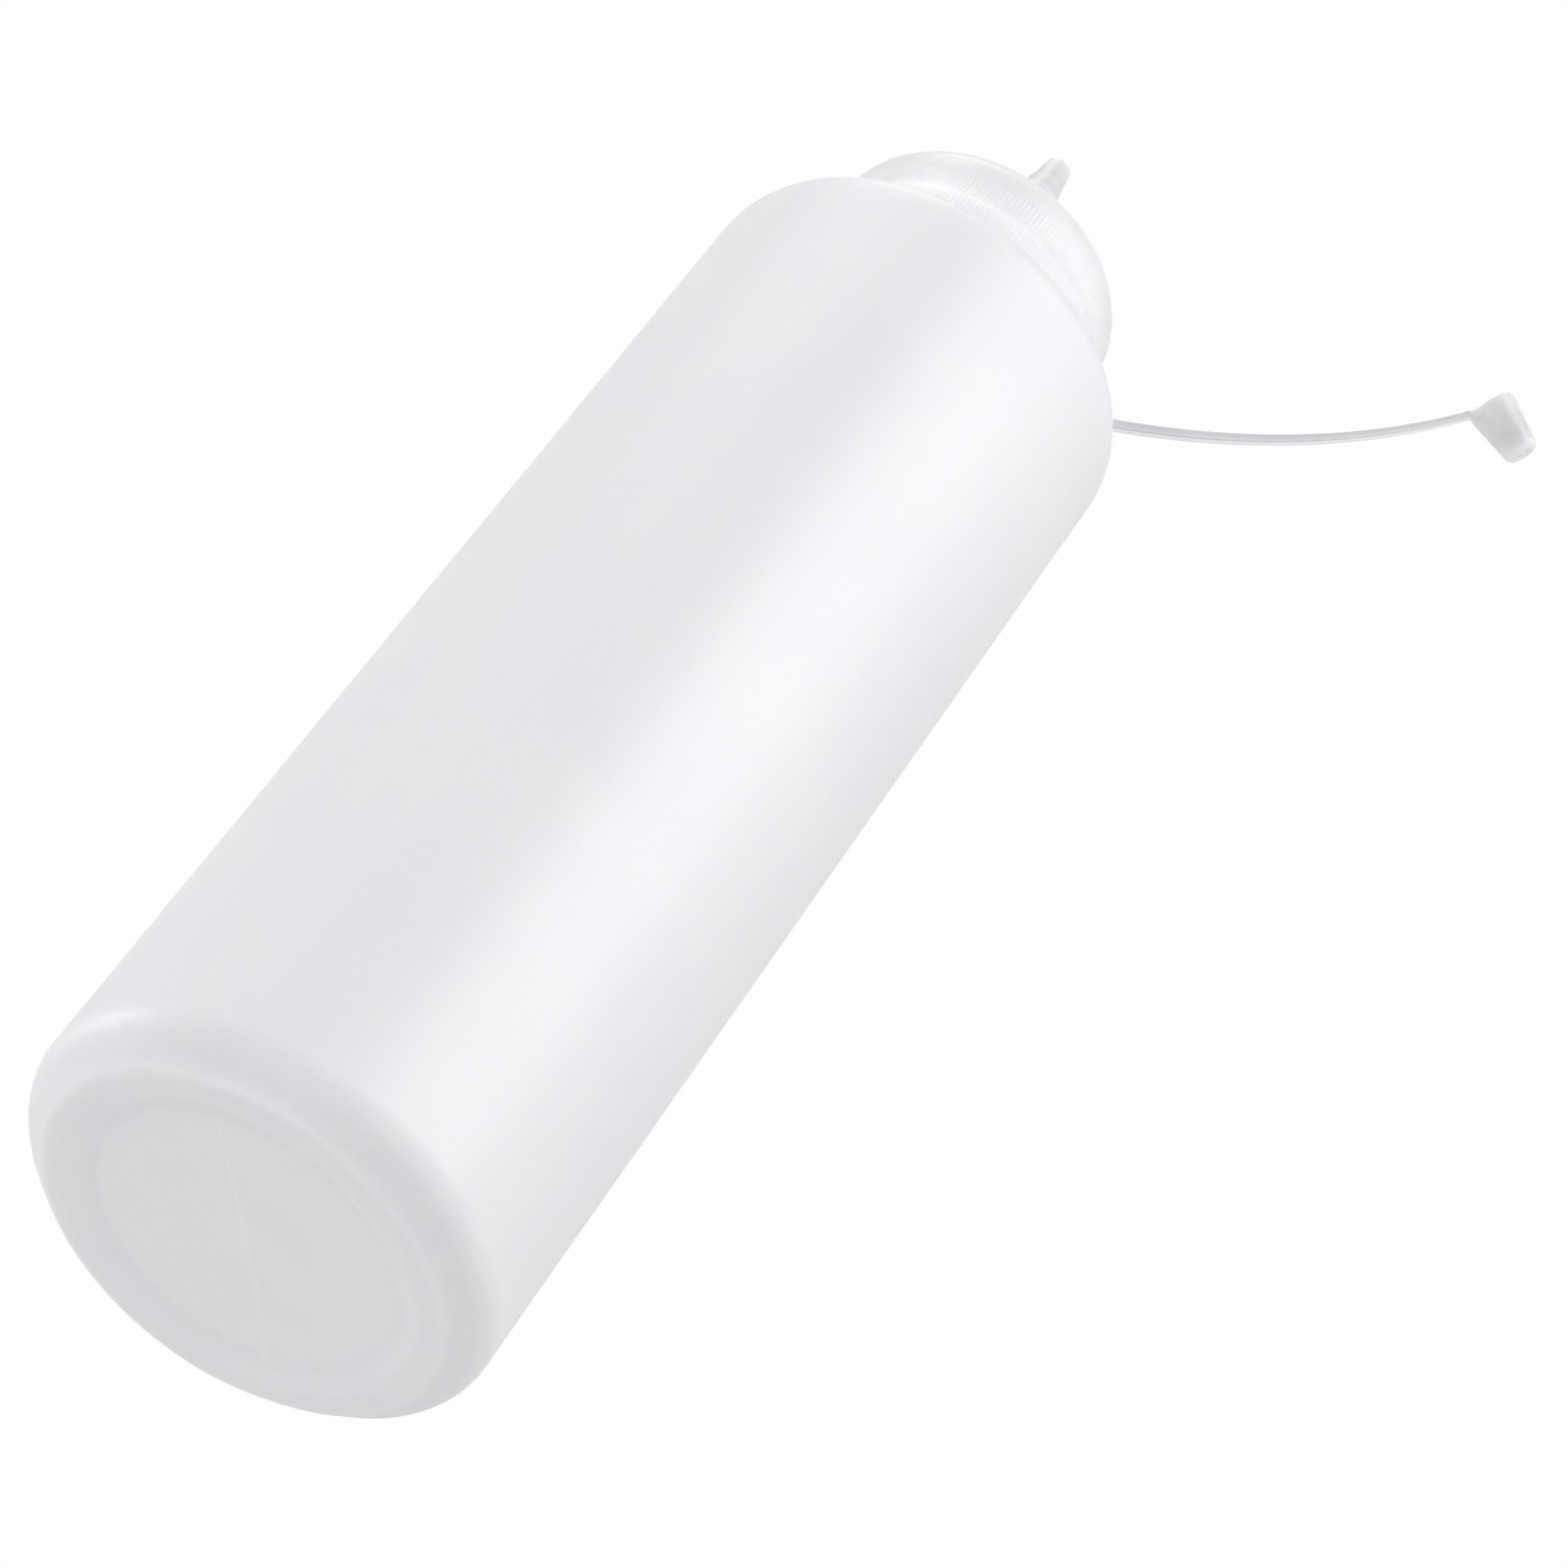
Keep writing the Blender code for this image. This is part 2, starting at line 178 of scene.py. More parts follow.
# %% [markdown]
# Most of this object is round, so most of its pieces are outlines turned about an axis. An outline is a
# list of radius and height. Real moulds have no sharp corners, so one helper rounds every corner of an
# outline, and another turns the outline into a skin. The skin may be given a relief, a small push that
# depends on the place, for ribs and seams.

# %% Outlines
no_length = 1e-9


def arc(centre_radius, centre_height, radius, start, end, steps):
    """Points of a round stretch, with both its ends."""
    points = []
    for step in range(steps + 1):
        angle = start + (end - start) * step / steps
        points.append((centre_radius + radius * cos(angle), centre_height + radius * sin(angle)))
    return points


def flat_arc(foot_radius, foot_height, top_radius, top_height, exponent, steps):
    """A quarter of an oval from its top out to its foot. An exponent below 2 makes it flatter."""
    points = []
    for step in range(steps + 1):
        angle = pi / 2 * (1 - step / steps)
        reach = max(0, cos(angle)) ** (2 / exponent)
        rise = sin(angle) ** (2 / exponent)
        radius = top_radius + (foot_radius - top_radius) * reach
        points.append((radius, foot_height + (top_height - foot_height) * rise))
    return points


def softened(outline, reach, steps=3):
    """Round each clear corner of an open outline with a short curve."""
    least_turn = radians(18)
    most_share = 0.45
    points = [outline[0]]
    for before, corner, after in zip(outline, outline[1:], outline[2:]):
        middle = Vector(corner)
        arriving = middle - Vector(before)
        leaving = Vector(after) - middle
        shorter = min(arriving.length, leaving.length)
        if shorter < no_length or abs(arriving.angle_signed(leaving)) < least_turn:
            points.append(corner)
            continue
        cut = min(reach, shorter * most_share)
        start = middle - arriving.normalized() * cut
        end = middle + leaving.normalized() * cut
        for step in range(steps + 1):
            share = step / steps
            place = start * (1 - share) ** 2 + middle * 2 * share * (1 - share) + end * share ** 2
            points.append(tuple(place))
    points.append(outline[-1])
    return points


def divided(outline, longest):
    """Split the long stretches of an outline, so that a relief has points to push."""
    rounding_up = 0.999
    points = [outline[0]]
    for before, after in zip(outline, outline[1:]):
        stretch = Vector(after) - Vector(before)
        pieces = max(1, int(stretch.length / longest + rounding_up))
        for piece in range(1, pieces + 1):
            points.append(tuple(Vector(before) + stretch * piece / pieces))
    return points


square = [(0, 0), (mm, 0), (mm, mm)]
print("a square corner, softened, has", len(softened(square, mm)) - 2, "points")

# %% Turning an outline
sharp_turn = radians(50)


def add_mesh(name, form):
    """Make an object of a finished bmesh, smooth but for its real corners."""
    bmesh.ops.recalc_face_normals(form, faces=form.faces)
    mesh = bpy.data.meshes.new(name)
    form.to_mesh(mesh)
    form.free()
    mesh.shade_smooth()
    mesh.set_sharp_from_angle(angle=sharp_turn)
    piece = bpy.data.objects.new(name, mesh)
    bpy.context.scene.collection.objects.link(piece)
    return piece


def turned(name, outline, facets, relief=None, ring=False):
    """Turn an outline about Z. It starts and ends on the axis, or is a closed ring."""
    form = bmesh.new()
    rows = []
    for radius, height in outline:
        if radius < no_length:
            rows.append([form.verts.new((0, 0, height))])
            continue
        row = []
        for facet in range(facets):
            angle = 2 * pi * facet / facets
            place = Vector((radius * cos(angle), radius * sin(angle), height))
            row.append(form.verts.new(place + relief(place) if relief else place))
        rows.append(row)
    pairs = list(zip(rows, rows[1:]))
    if ring:
        pairs.append((rows[-1], rows[0]))
    for row, following in pairs:
        for facet in range(facets):
            after = (facet + 1) % facets
            if len(row) == 1:
                form.faces.new((row[0], following[facet], following[after]))
            elif len(following) == 1:
                form.faces.new((row[facet], row[after], following[0]))
            else:
                form.faces.new((row[facet], row[after], following[after], following[facet]))
    return add_mesh(name, form)


print(f"corners stay sharp from {degrees(sharp_turn):.0f} degrees")

# %% [markdown]
# A screw thread and a tether are the same kind of form: a small section carried along a path. The next
# helper joins given sections into one closed bar. Threads are then united with their wall by a Boolean, so
# that the neck and the cap stay one skin each, as moulded plastic is.

# %% Bars and unions
def swept(name, sections):
    """A closed bar through sections that all have as many corners."""
    form = bmesh.new()
    rows = [[form.verts.new(corner) for corner in section] for section in sections]
    for row, following in zip(rows, rows[1:]):
        for side in range(len(row)):
            after = (side + 1) % len(row)
            form.faces.new((row[side], row[after], following[after], following[side]))
    form.faces.new(rows[0])
    form.faces.new(rows[-1])
    return add_mesh(name, form)


def united(piece, tool):
    """Unite a tool with a piece for good, and remove the tool."""
    union = piece.modifiers.new("Union", "BOOLEAN")
    union.operation = "UNION"
    union.solver = "EXACT"
    union.object = tool
    depsgraph = bpy.context.evaluated_depsgraph_get()
    joined = bpy.data.meshes.new_from_object(piece.evaluated_get(depsgraph))
    piece.modifiers.clear()
    piece.data = joined
    joined.set_sharp_from_angle(angle=sharp_turn)
    bpy.data.objects.remove(tool, do_unlink=True)
    return piece


print("the helpers for bars and unions are ready")

# %% The screw thread
thread_pitch = 4.2 * mm
thread_turns = 1.5
thread_start = neck_root + 2.4 * mm
thread_height = 1.1 * mm
thread_gap = 0.45 * mm
thread_overlap = 0.4 * mm


def thread_ridge(name, wall_radius, crest_radius, start):
    """A rounded screw ridge that fades into its wall at both ends, outside or inside the wall."""
    steps_a_turn = 72
    steps = round(steps_a_turn * thread_turns)
    fade_steps = steps_a_turn / 5
    end_highlight_share = 0.15
    buried = thread_overlap if crest_radius > wall_radius else -thread_overlap
    half_root = 0.95 * mm
    half_crest = 0.42 * mm
    rising_shares = ((-1, 0), (-0.72, 0.42), (-0.5, 0.86), (-0.22, 1))
    profile_shares = rising_shares + tuple((-along, up) for along, up in rising_shares[::-1])
    low_radius = wall_radius - buried
    sections = []
    for step in range(steps + 1):
        angle = 2 * pi * step / steps_a_turn
        middle = start + thread_pitch * step / steps_a_turn
        fade = min(1, end_highlight_share + step / fade_steps, end_highlight_share + (steps - step) / fade_steps)
        section = []
        for along, up in profile_shares:
            radius = low_radius + (crest_radius - low_radius) * up * fade
            reach = half_root if up < 0.5 else half_root * 0.5 + half_crest
            section.append((radius * cos(angle), radius * sin(angle), middle + along * reach))
        sections.append(section)
    return swept(name, sections)


print("thread pitch", round(thread_pitch / mm, 2), "mm,", thread_turns, "turns")

# %% [markdown]
# The bottle is blown into a mould of two halves. That leaves its marks: a thin even wall that follows the
# outside, soft rounded corners, a faint waviness, and across the base the line where the hot tube was
# pinched shut. Where that line crosses the bevelled heel, the plastic is thick, shrinks more and leaves a
# dent, deeper at the far end. The base is a shallow dome inside a standing ring. The skin is turned in
# fine steps, with short ones across the base, so that the pinch line can be pushed out as real relief.

# %% The bottle's outline
longest_stretch = 4 * mm


def panel_height(radius):
    return recess_depth + panel_rise * (1 - (radius / panel_radius) ** 2)


def base_outline(wall, steps):
    """From the foot ring up the side of the hollow and over the panel to the axis."""
    points = []
    for step in range(1, steps + 1):
        share = step / steps
        rise = share * share * (3 - 2 * share)
        points.append((foot_ring_inner - recess_run * share, wall + recess_depth * rise))
    panel_steps = 3 * steps
    for step in range(1, panel_steps + 1):
        radius = panel_radius * (1 - step / panel_steps)
        points.append((radius, wall + panel_height(radius)))
    return points


def bottle_outside():
    points = [(neck_radius, neck_root)]
    points += arc(shoulder_centre, wall_height, shoulder_radius, pi / 2 - shoulder_slope, 0, 12)
    points = softened([(neck_radius, lip_top - lip_round)] + points, neck_round, 5)
    heel = [
        (body_radius, wall_height),
        (body_radius, bevel_height),
        (body_radius - bevel_width, bevel_foot),
        (foot_ring_outer, 0),
        (foot_ring_inner, 0),
    ]
    points += softened(heel, heel_round, 8)[1:]
    return divided(points, longest_stretch) + base_outline(0, 10)


def bottle_inside():
    inner_corner = shoulder_radius - body_wall
    inner_radius = body_radius - body_wall
    points = base_outline(body_wall, 5)[::-1]
    points += flat_arc(inner_radius, heel_height, foot_ring_outer, body_wall, inner_heel_exponent, 8)
    points += arc(shoulder_centre, wall_height, inner_corner, 0, pi / 2 - shoulder_slope, 6)
    run = shoulder_centre + inner_corner * sin(shoulder_slope) - bore_radius
    root = wall_height + inner_corner * cos(shoulder_slope) + run * tan(shoulder_slope)
    bore = [points[-1], (bore_radius, root), (bore_radius, lip_top - lip_round)]
    return points + softened(bore, neck_round, 4)[1:]


print("bottle's outline:", len(bottle_inside()), "points inside,", len(bottle_outside()), "outside")

# %% Relief of the blown skin
seam_along = Vector((cos(seam_turn), sin(seam_turn), 0))
seam_across = Vector((-sin(seam_turn), cos(seam_turn), 0))
seam_height = 0.10 * mm
seam_half_width = 0.45 * mm
dent_depth = 0.45 * mm
dent_half_width = 5 * mm
near_dent_share = 0.25
wave_height = 0.06 * mm
wave_length = 24 * mm
wave_fade = 10 * mm


def bell(distance, half_width):
    return exp(-((distance / half_width) ** 2))


def skin_relief(place):
    """Push of the outer skin: waviness of the wall, and the pinch line across the base."""
    radius = Vector((place.x, place.y)).length
    outwards = Vector((place.x, place.y, 0)).normalized() if radius > 0 else Vector()
    if place.z > heel_height:
        below_top = max(0, wall_height - place.z)
        fade = min(1, (place.z - heel_height) / wave_fade, below_top / wave_fade)
        return outwards * wave_height * fade * (noise.noise(place / wave_length) - 1) / 2
    across = abs(seam_across.dot(place))
    if radius < foot_ring_inner:
        inwards = min(1, (foot_ring_inner - radius) / recess_run)
        return Vector((0, 0, -seam_height * bell(across, seam_half_width) * inwards))
    share = place.z / heel_height
    dent = dent_depth * bell(across, dent_half_width) * 4 * share * (1 - share)
    if seam_along.dot(place) < 0:
        dent *= near_dent_share
    return Vector((0, 0, dent)) - outwards * dent


print(f"the pinch line stands out {seam_height / mm:.2f} mm")
print(f"its deeper dent goes in {dent_depth / mm:.2f} mm")

# %% Make the bottle
body_facets = 240
lip = arc(bore_radius + lip_round, lip_top - lip_round, lip_round, pi, pi / 2, 4)
lip += arc(neck_radius - lip_round, lip_top - lip_round, lip_round, pi / 2, 0, 4)
inside_rows = bottle_inside() + lip[1:-1]
bottle = turned("blown_bottle", inside_rows + bottle_outside(), body_facets)
first_outside = 1 + (len(inside_rows) - 1) * body_facets
for vertex in bottle.data.vertices[first_outside:]:
    vertex.co += skin_relief(vertex.co)
united(bottle, thread_ridge("neck_thread", neck_radius, neck_radius + thread_height, thread_start))
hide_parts("bottle")
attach(bottle, "bottle")
print("bottle:", len(bottle.data.polygons), "faces")

# %% [markdown]
# The screw cap comes from another kind of mould, with a core, so its skin is crisper: two tiers of fine
# upright ribs for the fingers, a ledge between them, a dome, and a nozzle that narrows in steps. The ribs
# are in the skin itself, four points to a rib, because at this scale their light and dark lines are what
# the eye reads as ribs.

# %% The screw cap's outline
# Of the nozzle's corners, each radius in millimetres, and each height as a share of the nozzle's.
nozzle_steps_shares = (
    (1.25, 1), (1.5, 0.99), (1.55, 0.975), (1.9, 0.7625), (2.05, 0.75),
    (2.35, 0.6), (2.6, 0.5925), (2.6, 0.5625), (3.4, 0.25),
)


def cap_inside():
    inlet_radius = 3.4 * mm
    bore_tip_radius = 0.9 * mm
    seal_width = 3 * mm
    ceiling_inner = skirt_inner_radius - seal_width
    wall = 1.4 * mm
    points = [(skirt_inner_radius, skirt_bottom), (skirt_inner_radius, ceiling)]
    points += flat_arc(ceiling_inner, ceiling, inlet_radius, dome_top - wall, dome_exponent, 12)[::-1]
    points += [(bore_tip_radius, nozzle_top)]
    return points


def cap_outside():
    points = [(radius * mm, dome_top + nozzle_height * share) for radius, share in nozzle_steps_shares]
    points += flat_arc(upper_tier_radius, dome_foot, dome_top_radius, dome_top, dome_exponent, 24)
    points += [
        (upper_tier_radius, rib_top),
        (upper_tier_radius, rib_top - rib_fade / 2),
        (upper_tier_radius, rib_top - rib_fade),
        (upper_tier_radius, ledge),
        (skirt_radius, ledge),
        (skirt_radius, skirt_bottom),
    ]
    return points


def rib_relief(place):
    """Sink the skin between the ribs, all round the two tiers."""
    plain_rim = 0.3 * mm
    rim_fade = 0.4 * mm
    tolerance = 0.05 * mm
    radius = Vector((place.x, place.y)).length
    if place.z > rib_top or radius < upper_tier_radius - tolerance:
        return Vector()
    rib = (1 - cos(atan2(place.y, place.x) * rib_count)) / 2
    above_rim = max(0, place.z - skirt_bottom - plain_rim)
    fade = min(1, above_rim / rim_fade, (rib_top - place.z) / rib_fade)
    return Vector((-place.x, -place.y, 0)).normalized() * rib_depth * rib * fade


print("cap's outline:", len(cap_inside()), "points inside,", len(cap_outside()), "outside")

# %% Make the screw cap
cap_facets = 4 * rib_count
cap_round = 0.22 * mm
cap_stretch = 3.5 * mm
whole = cap_inside() + cap_outside()
outline = divided(softened(whole + whole[:1], cap_round, 2)[:-1], cap_stretch)
screw_cap = turned("moulded_cap", outline, cap_facets, rib_relief, ring=True)
united(screw_cap, thread_ridge(
    "cap_thread", skirt_inner_radius, neck_radius + thread_gap, thread_start + thread_pitch / 2
))
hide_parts("screw_cap")
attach(screw_cap, "screw_cap")
print("screw cap:", len(screw_cap.data.polygons), "faces")

# %% [markdown]
# The tether is one soft strip between the two caps. In the model it is a chain of short links, because
# rigid bodies can't bend. Here each piece of the strip starts in the middle of one link and ends in the
# middle of the next. The strip's line is an arc, checked against the joints' own places.

# %% The tether's line
joints = {joint["name"]: joint for joint in frame["joints"]}
bends = [Vector(joints[f"tether_bend_{number}"]["pos_m"]) for number in range(1, 9)]
tether_rise = radians(32)
tether_curl_radius = 111 * mm
tether_root_height = 3.81 * mm
tether_root = Vector((skirt_radius, 0, skirt_bottom + tether_root_height))
tether_length = 55.1 * mm
tether_width = 0.8 * mm
root_depth = 1.35 * mm
tip_depth = 0.9 * mm


def tether_place(length):
    chord = 2 * tether_curl_radius * sin(length / tether_curl_radius / 2)
    angle = tether_rise + length / tether_curl_radius / 2
    return tether_root + Vector((cos(angle), 0, sin(angle))) * chord


def tether_heading(length):
    angle = tether_rise + length / tether_curl_radius
    return Vector((cos(angle), 0, sin(angle)))


bend_lengths = [
    2 * tether_curl_radius * asin((bend - tether_root).length / 2 / tether_curl_radius) for bend in bends
]
miss = max((tether_place(length) - bend).length for length, bend in zip(bend_lengths, bends))
print(f"bends at {[round(length / mm, 1) for length in bend_lengths]} mm")
print(f"off the arc by {miss / mm:.3f} mm at most")

# %% Sections of the tether
edge_round = 0.16 * mm
section_step = 0.3 * mm
flare_reach = 1.2 * mm


def tether_section(length, spread):
    """The strip's rounded section: deep in the plane it curls in, narrow across."""
    heading = tether_heading(length)
    over = Vector((-heading.z, 0, heading.x))
    share = min(1, max(0, length / tether_length))
    half_depth = (root_depth + (tip_depth - root_depth) * share) / 2
    half_width = tether_width / 2 * spread
    points = []
    for side_up, side_out, start in ((1, 1, 0), (1, -1, 1), (-1, -1, 2), (-1, 1, 3)):
        for step in range(3):
            angle = pi / 2 * (start + step / 2)
            up = side_up * (half_depth - edge_round) + edge_round * sin(angle)
            out = side_out * (half_width - edge_round) + edge_round * cos(angle)
            points.append(tether_place(length) + over * up + Vector((0, out, 0)))
    return points


def tether_piece(name, start, end, root_flare):
    """A piece of the strip between two lengths along it, wider by a share where it leaves the skirt."""
    steps = max(8, round((end - start) / section_step))
    sections = []
    for step in range(steps + 1):
        length = start + (end - start) * step / steps
        spread = 1 + root_flare * bell(max(0, length), flare_reach)
        sections.append(tether_section(length, spread))
    return swept(name, sections)


print("sections", section_step / mm, "mm apart")

# %% Make the tether
inside_skirt = 0.8 * mm
inside_web = 1.3 * mm
flare_share = 0.6
bend_reach = 1.9 * mm
middles = [(first + second) / 2 for first, second in zip(bend_lengths, bend_lengths[1:])]
cuts = [-inside_skirt] + middles + [bend_lengths[-1] + inside_web]
tether = []
for number, length in enumerate(bend_lengths):
    flare = flare_share if number == 0 else 0
    strip = tether_piece(f"tether_strip_{number + 1}", cuts[number], cuts[number + 1], flare)
    reach = min(bend_reach, length - cuts[number], cuts[number + 1] - length)
    tether_place(length - reach)
    tether_place(length + reach)
    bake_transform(strip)
    if number:
        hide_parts(f"tether_link_{number}")
    tether.append(strip)
print("tether pieces:", len(tether))

# %% [markdown]
# The tip cap is a small hollow cone with its open end level with the strip. Its closed end is rounded, with
# a dimple where the plastic was let into the mould. It is turned like the other pieces, about its own axis,
# and then laid on the end of the strip. The strip widens into a web where it meets the rim.

# %% The tip cap's outline
tip_length = 6.9 * mm
mouth_radius = 2.55 * mm
tip_inner_radius = 1.75 * mm
tip_wall = 0.35 * mm
tip_end_wall = 0.6 * mm
tip_end_round = 0.85 * mm
tip_outer_radius = tip_inner_radius + tip_wall
tip_drop = 0.24 * mm
rim_height = 0.3 * mm
mouth_flare = 0.1 * mm
rim_bevel = 0.15 * mm
dimple_radius = 0.95 * mm
dimple_depth = 0.2 * mm
dimple_slope = 0.1 * mm
gate_radius = 0.3 * mm
gate_slope = 0.15 * mm
gate_sink = 0.02 * mm


def tip_outline():
    """From the axis inside, round the mouth's rim, to the axis outside, with the rim's level at 0."""
    floor = tip_end_wall - tip_length
    dimple_floor = dimple_depth - tip_length
    gate_end = gate_sink - tip_length
    inside = [
        (0, floor),
        (tip_inner_radius, floor),
        (mouth_radius, -rim_height),
        (mouth_radius + mouth_flare, 0),
    ]
    outside = [(mouth_radius + tip_wall - rim_bevel, 0), (mouth_radius + tip_wall, -rim_height)]
    flat_radius = tip_outer_radius - tip_end_round
    outside += arc(flat_radius, tip_end_round - tip_length, tip_end_round, radians(8), -pi / 2, 8)
    outside += [
        (dimple_radius, -tip_length),
        (dimple_radius - dimple_slope, dimple_floor),
        (gate_radius + gate_slope, dimple_floor),
        (gate_radius, gate_end),
        (0, gate_end),
    ]
    return softened(inside, 0.3 * mm, 4) + softened(outside, 0.12 * mm, 3)


print("tip cap's outline:", len(tip_outline()), "points")

# %% The tip cap's web
web_start = 0.9 * mm
web_half_width = 1.5 * mm
hidden_in_depth = 0.04 * mm
hidden_in_width = 0.02 * mm


def tip_web(mouth_distance):
    """The strip's widening end, up to the cone's wall, with X along the strip from the last bend."""
    wall_middle = mouth_radius + tip_wall / 2
    half_depth = tip_depth / 2 - hidden_in_depth
    root_half = tether_width / 2 - hidden_in_width
    steps = 8
    sections = []
    for step in range(steps + 1):
        share = step / steps
        half = root_half + (web_half_width - root_half) * share ** 3
        lower, upper = [], []
        for across in (-1, -0.5, 0, 0.5, 1):
            y = half * across
            wall_x = mouth_distance - sqrt(wall_middle ** 2 - y ** 2)
            x = web_start + (wall_x - web_start) * share
            lower.append((x, y, -half_depth - tip_drop * 2 * share ** 2))
            upper.append((x, y, half_depth - tip_drop * share ** 2))
        sections.append(lower + upper[::-1])
    return swept("tip_web", sections)


print(f"the web widens from {tether_width / mm:.1f} to {2 * web_half_width / mm:.1f} mm")

# %% Make the tip cap
tip_facets = 96
web_length = 2.2 * mm
end_heading = tether_heading(tether_length)
end_turn = Matrix.Rotation(-atan2(end_heading.z, end_heading.x), 4, "Y")
strip_end = Matrix.Translation(bends[-1]) @ end_turn
mouth_distance = web_length + mouth_radius + tip_wall
tip_cap = turned("moulded_tip_cap", tip_outline(), tip_facets)
tip_cap.data.transform(Matrix.Translation((mouth_distance, 0, tip_depth / 2 - tip_drop)))
united(tip_cap, tip_web(mouth_distance))
tip_cap.data.transform(strip_end)
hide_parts("tip_cap")
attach(tip_cap, "tip_cap")
tip_size = [round(value / mm, 1) for value in tip_cap.dimensions]
print("tip cap:", len(tip_cap.data.polygons), "faces, in mm", tip_size)

# %% [markdown]
# The finishes are sums of simple patterns, so the shader maths is written as plain Python sums. A small
# class stands for one value in a material, and the usual signs add the Math nodes. Every other node comes
# from one method of a recipe, for the room and the floor as well. Colours are blended by Mix nodes, because
# a Math node would turn them grey.

# %% Values and recipes
class Value:
    """One value in a recipe. A sum or product with it adds a Math node."""

    def __init__(self, recipe, socket):
        self.recipe = recipe
        self.socket = socket

    def maths(self, operation, first, second):
        return self.recipe.node("ShaderNodeMath", {"operation": operation}, {0: first, 1: second})

    def __add__(self, other):
        return self.maths("ADD", self, other)

    def __sub__(self, other):
        return self.maths("SUBTRACT", self, other)

    def __rsub__(self, other):
        return self.maths("SUBTRACT", other, self)

    def __mul__(self, other):
        return self.maths("MULTIPLY", self, other)

    def __abs__(self):
        return self.maths("ABSOLUTE", self, 0)

    __radd__ = __add__
    __rmul__ = __mul__


class Recipe:
    """A tree of nodes, and the one method that adds to it."""

    def __init__(self, tree):
        self.tree = tree

    def node(self, kind, settings=None, sockets=None, output=0):
        """Add a node: its settings, then a value or a link for each socket that is named."""
        made = self.tree.nodes.new(kind)
        for setting, value in (settings or {}).items():
            setattr(made, setting, value)
        for key, value in (sockets or {}).items():
            self.feed(made.inputs[key], value)
        return Value(self, made.outputs[output])

    def feed(self, socket, value):
        """Set a socket, or link it where the value is another node's."""
        if isinstance(value, Value):
            self.tree.links.new(value.socket, socket)
        else:
            socket.default_value = value

    def show(self, output, shader):
        """Let a shader be what the recipe's output node shows."""
        self.feed(self.tree.nodes[output].inputs["Surface"], shader)


print("values can be added, subtracted, multiplied and made positive")

# %% Finishes
class Finish(Recipe):
    """A material, and the patterns that its nodes can make."""

    def __init__(self, name, **constants):
        self.material = bpy.data.materials.new(name)
        self.material.use_nodes = True
        super().__init__(self.material.node_tree)
        self.shader = self.tree.nodes["Principled BSDF"]
        for socket, value in constants.items():
            self.give(socket.replace("_", " "), value)

    @cached_property
    def place(self):
        """Where a point of the surface is, with the object's own origin and axes."""
        return self.node("ShaderNodeTexCoord", output="Object")

    def along(self, axis):
        """How far a point lies along X, Y or Z."""
        return self.node("ShaderNodeSeparateXYZ", {}, {"Vector": self.place}, output=axis)

    def give(self, channel, value):
        """Let a value drive a channel of the surface."""
        self.feed(self.shader.inputs[channel], value)

    def vector(self, operation, first, second=(0, 0, 0), output="Vector"):
        """Maths with three numbers at once."""
        return self.node("ShaderNodeVectorMath", {"operation": operation}, {0: first, 1: second}, output)

    def noise(self, size, detail=2.0, stretch=(1, 1, 1)):
        """Soft noise from 0 to 1 with spots of about the given size."""
        place = self.vector("MULTIPLY", self.place, stretch)
        return self.node("ShaderNodeTexNoise", {}, {"Vector": place, "Scale": 1 / size, "Detail": detail})

    def from_axis(self):
        """Distance from the bottle's axis."""
        level = self.vector("MULTIPLY", self.place, (1, 1, 0))
        return self.vector("LENGTH", level, output="Value")

    def ramp(self, value, low, high):
        """0 below low, 1 above high, and a smooth rise between them."""
        limits = {"Value": value, "From Min": low, "From Max": high}
        return self.node("ShaderNodeMapRange", {"interpolation_type": "SMOOTHSTEP"}, limits)

    def blend(self, share, first, second):
        """One colour that turns into another as the share goes from 0 to 1."""
        return self.node("ShaderNodeMix", {"data_type": "RGBA"}, {0: share, 6: first, 7: second}, output=2)

    def bump(self, height, depth):
        """Let a pattern from 0 to 1 stand out by the given depth."""
        self.give("Normal", self.node("ShaderNodeBump", {}, {"Height": height, "Distance": depth}))


def dress(piece, finish):
    piece.data.materials.clear()
    piece.data.materials.append(finish.material)


print("a finish can use", ", ".join(name for name in vars(Finish) if not name.startswith("_")))

# %% [markdown]
# Polyethylene is milky rather than white: light enters it a few millimetres and comes out again, which
# softens every shade. Blowing leaves the body satin, with faint clouds, streaks along the way that the tube
# was drawn, and a grain from the blasted mould. The panel of the base is stretched least, so it is a little
# warmer, and mottled with brownish patches along its middle; it is also painted a trace lighter, as painted
# fill light for its downward face. The shoulder's rim is painted a trace greyer, as painted shade where it
# meets the cap. The heel is scuffed, and the foot ring with a band just inside it is painted greyer, as
# painted shade. None of this is strong: each pattern moves the colour by about a tenth at most.

# %% Finish of the blown bottle
def milky(name):
    """The plastic that all these mouldings share: constants that don't change over the surface."""
    return Finish(
        name, IOR=1.51, Specular_IOR_Level=0.8,
        Subsurface_Weight=0.85, Subsurface_Radius=(1.0, 0.95, 0.9), Subsurface_Scale=3 * mm,
    )


cloud_size = 22 * mm
streak_size = 5 * mm
streak_stretch = (1, 1, 0.08)
grain_size = 0.35 * mm
peel_size = 2.2 * mm
body_finish = milky("blown_plastic")
body_height = body_finish.along("Z")
off_axis = body_finish.from_axis()
clouds = body_finish.noise(cloud_size, 2)
streaks = body_finish.noise(streak_size, 3, streak_stretch)
grain = body_finish.noise(grain_size, 1)
peel = body_finish.noise(peel_size, 2)
print(f"four patterns, from {grain_size / mm:.2f} to {cloud_size / mm:.0f} mm across")
